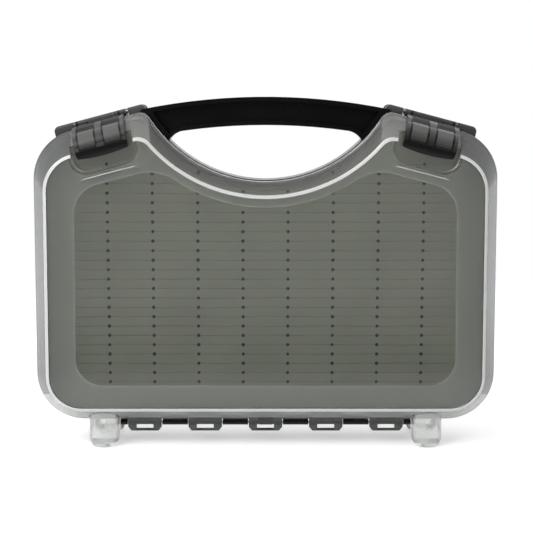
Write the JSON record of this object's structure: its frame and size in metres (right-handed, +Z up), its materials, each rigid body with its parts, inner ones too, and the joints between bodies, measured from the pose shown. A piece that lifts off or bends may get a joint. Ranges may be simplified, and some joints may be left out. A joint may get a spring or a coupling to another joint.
{
  "type": "fly box",
  "caption": "Flat carrying case with an arched handle, a slit foam leaf in the middle, a clear lid hinged at the bottom on each face and swinging shoulder latches.",
  "frame": {"origin": "middle of the case on the ground plane under its four feet", "axes": "+X to the right along the handle, -Y out of the front lid, +Z up"},
  "size_m": [0.34, 0.068, 0.2564],
  "materials": {
    "frame_plastic": "black moulded plastic, satin",
    "panel_plastic": "dark grey sheet",
    "slit_foam": "closed-cell foam with slits and holes",
    "seal_rubber": "soft seal",
    "pin_steel": "drawn wire",
    "clear_plastic": "clear moulded plastic with a frosted border",
    "bracket_plastic": "dark grey moulded plastic",
    "latch_plastic": "dark grey moulded plastic, satin"
  },
  "bodies": {
    "frame": {"center_frame": "frame_plastic", "divider_panel": "panel_plastic", "front_foam": "slit_foam", "back_foam": "slit_foam", "front_gasket": "seal_rubber", "back_gasket": "seal_rubber", "front_hinge_pin": "pin_steel", "back_hinge_pin": "pin_steel", "front_left_latch_bracket": "bracket_plastic", "front_right_latch_bracket": "bracket_plastic", "back_left_latch_bracket": "bracket_plastic", "back_right_latch_bracket": "bracket_plastic", "front_left_latch_pin": "pin_steel", "front_right_latch_pin": "pin_steel", "back_left_latch_pin": "pin_steel", "back_right_latch_pin": "pin_steel"},
    "front_lid": {"front_lid": "clear_plastic"},
    "back_lid": {"back_lid": "clear_plastic"},
    "front_left_latch": {"front_left_latch": "latch_plastic"},
    "front_right_latch": {"front_right_latch": "latch_plastic"},
    "back_left_latch": {"back_left_latch": "latch_plastic"},
    "back_right_latch": {"back_right_latch": "latch_plastic"}
  },
  "joints": [
    {"name": "front_lid_hinge", "type": "hinge", "parent": "frame", "child": "front_lid", "pos_m": [0, -0.0158, 0.0154], "axis": [1, 0, 0], "range_deg": [0, 90]},
    {"name": "back_lid_hinge", "type": "hinge", "parent": "frame", "child": "back_lid", "pos_m": [0, 0.0158, 0.0154], "axis": [-1, 0, 0], "range_deg": [0, 90]},
    {"name": "front_left_latch_hinge", "type": "hinge", "parent": "frame", "child": "front_left_latch", "pos_m": [-0.12047, -0.007, 0.241], "axis": [-0.9668, 0, -0.2554], "range_deg": [0, 110]},
    {"name": "front_right_latch_hinge", "type": "hinge", "parent": "frame", "child": "front_right_latch", "pos_m": [0.12047, -0.007, 0.241], "axis": [-0.9668, 0, 0.2554], "range_deg": [0, 110]},
    {"name": "back_left_latch_hinge", "type": "hinge", "parent": "frame", "child": "back_left_latch", "pos_m": [-0.12047, 0.007, 0.241], "axis": [0.9668, 0, 0.2554], "range_deg": [0, 110]},
    {"name": "back_right_latch_hinge", "type": "hinge", "parent": "frame", "child": "back_right_latch", "pos_m": [0.12047, 0.007, 0.241], "axis": [0.9668, 0, -0.2554], "range_deg": [0, 110]}
  ]
}
